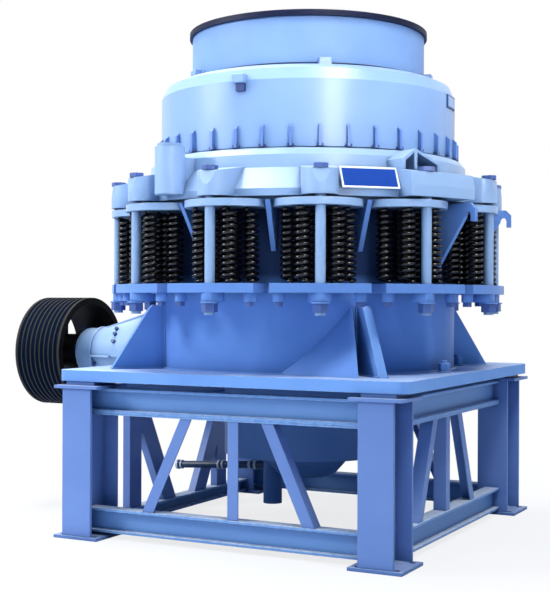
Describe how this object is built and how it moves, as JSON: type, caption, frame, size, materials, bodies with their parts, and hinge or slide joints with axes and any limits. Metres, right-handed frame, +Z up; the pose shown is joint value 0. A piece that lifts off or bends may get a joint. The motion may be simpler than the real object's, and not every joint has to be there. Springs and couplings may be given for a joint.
{
  "type": "spring cone crusher",
  "caption": "Spring cone crusher on a welded steel stand: feed hopper, adjusting cap, spring release ring and a belt pulley that turns.",
  "frame": {"origin": "on the ground under the crusher's upright axis, at the centre of the anchor holes", "axes": "+Z up along the crusher's axis, -Y towards the stand's front, -X towards the drive pulley"},
  "size_m": [2.5239, 1.9098, 2.374],
  "materials": {
    "blue_paint": "gloss",
    "black_paint": "satin",
    "bare_steel": "satin",
    "cast_steel": "matt"
  },
  "bodies": {
    "frame": {"column_front_left": "blue_paint", "column_front_right": "blue_paint", "column_back_left": "blue_paint", "column_back_right": "blue_paint", "foot_plates": "blue_paint", "cap_plates": "blue_paint", "bottom_beams": "blue_paint", "top_beams": "blue_paint", "front_braces": "blue_paint", "right_braces": "blue_paint", "back_braces": "blue_paint", "left_braces": "blue_paint", "base_plate": "blue_paint", "frame_barrel": "blue_paint", "corner_ribs": "blue_paint", "corner_web": "blue_paint", "frame_flange": "blue_paint", "flange_ribs": "blue_paint", "lifting_lugs": "blue_paint", "hub_and_arms": "blue_paint", "drain_duct": "blue_paint", "drain_pipe": "blue_paint", "countershaft_box": "blue_paint", "outer_springs": "black_paint", "inner_springs": "black_paint", "crushing_head": "cast_steel", "feed_plate": "cast_steel"},
    "release": {"adjusting_ring": "blue_paint", "guard_post": "blue_paint", "ring_bracket": "blue_paint", "adjusting_cap": "blue_paint", "cap_fins": "blue_paint", "hopper": "blue_paint", "hopper_rim": "blue_paint", "bowl_liner": "cast_steel", "spring_rods": "blue_paint", "rod_nuts": "bare_steel", "lower_seats": "blue_paint", "side_bolts": "bare_steel"},
    "drive": {"pulley": "black_paint", "countershaft": "bare_steel"}
  },
  "joints": [
    {"name": "tramp_release", "type": "slide", "parent": "frame", "child": "release", "axis": [0, 0, 1], "range_m": [0, 0.05], "stiffness_N_per_m": 2000000, "springref_m": -0.03, "deforming": ["outer_springs", "inner_springs"]},
    {"name": "countershaft_turn", "type": "hinge", "parent": "frame", "child": "drive", "pos_m": [-1.3, 0, 0.808], "axis": [1, 0, 0], "continuous": true}
  ]
}
